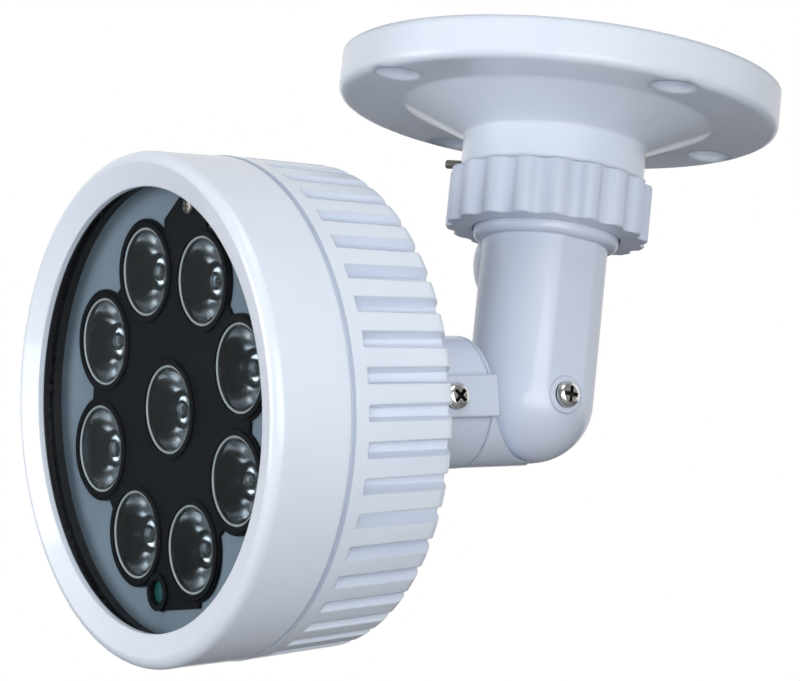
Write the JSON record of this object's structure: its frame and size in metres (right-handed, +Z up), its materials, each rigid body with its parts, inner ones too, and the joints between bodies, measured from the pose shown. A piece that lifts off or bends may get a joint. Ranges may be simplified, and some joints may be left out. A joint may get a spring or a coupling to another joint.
{
  "type": "infrared illuminator",
  "caption": "Round infrared lamp for a camera: finned housing with a bezel and window, on a swivelling and tilting bracket under a round ceiling plate.",
  "frame": {"origin": "centre of the round plate's mounting face, on the ceiling", "axes": "+Z up into the ceiling, the lamp hangs below and its window faces -Y, the hinge and lock screws' heads face +X"},
  "size_m": [0.12, 0.175, 0.163],
  "materials": {
    "white_paint": "gloss paint",
    "nickel_screw": "bright",
    "steel_pin": "dull",
    "black_rubber": "satin",
    "white_nylon": "satin",
    "window_glass": "polished",
    "grey_plate": "satin",
    "black_plastic": "satin",
    "clear_lens": "polished",
    "led_ceramic": "satin",
    "circuit_board": "solder mask",
    "sensor_resin": "clear resin",
    "component_black": "gloss"
  },
  "bodies": {
    "base": {"base_plate": "white_paint", "neck_set_screw": "steel_pin", "swivel_washer": "white_nylon"},
    "ring": {"lock_ring": "white_paint"},
    "arm": {"arm": "white_paint", "hinge_screw": "nickel_screw", "hinge_nut": "nickel_screw"},
    "knuckle": {"knuckle": "white_paint"},
    "head": {"tail_socket": "white_paint", "lock_screw": "nickel_screw", "socket_screws": "nickel_screw", "rear_housing": "white_paint", "housing_seal": "black_rubber", "bezel_ring": "white_paint", "front_glass": "window_glass", "glass_gasket": "black_rubber", "inner_plate": "grey_plate", "lens_holder": "black_plastic", "lens_1": "clear_lens", "lens_2": "clear_lens", "lens_3": "clear_lens", "lens_4": "clear_lens", "lens_5": "clear_lens", "lens_6": "clear_lens", "lens_7": "clear_lens", "lens_8": "clear_lens", "lens_9": "clear_lens", "led_1": "led_ceramic", "led_2": "led_ceramic", "led_3": "led_ceramic", "led_4": "led_ceramic", "led_5": "led_ceramic", "led_6": "led_ceramic", "led_7": "led_ceramic", "led_8": "led_ceramic", "led_9": "led_ceramic", "led_board": "circuit_board", "board_screws": "nickel_screw", "sensor_sleeve": "black_plastic", "light_sensor": "sensor_resin", "driver_board": "circuit_board", "driver_capacitors": "component_black", "driver_choke": "component_black", "driver_screws": "nickel_screw", "cable_grommet": "black_rubber"}
  },
  "joints": [
    {"name": "ring_turn", "type": "hinge", "parent": "base", "child": "ring", "pos_m": [0, 0, -0.035], "axis": [0, 0, 1], "range_deg": [-90, 90]},
    {"name": "arm_pan", "type": "hinge", "parent": "base", "child": "arm", "pos_m": [0, 0, -0.035], "axis": [0, 0, 1], "range_deg": [-175, 175]},
    {"name": "lamp_tilt", "type": "hinge", "parent": "arm", "child": "knuckle", "pos_m": [0, 0, -0.0826], "axis": [1, 0, 0], "range_deg": [-20, 78]},
    {"name": "lamp_roll", "type": "hinge", "parent": "knuckle", "child": "head", "pos_m": [0, 0, -0.0826], "axis": [0, 0.9799, 0.1994], "range_deg": [-170, 170]}
  ]
}
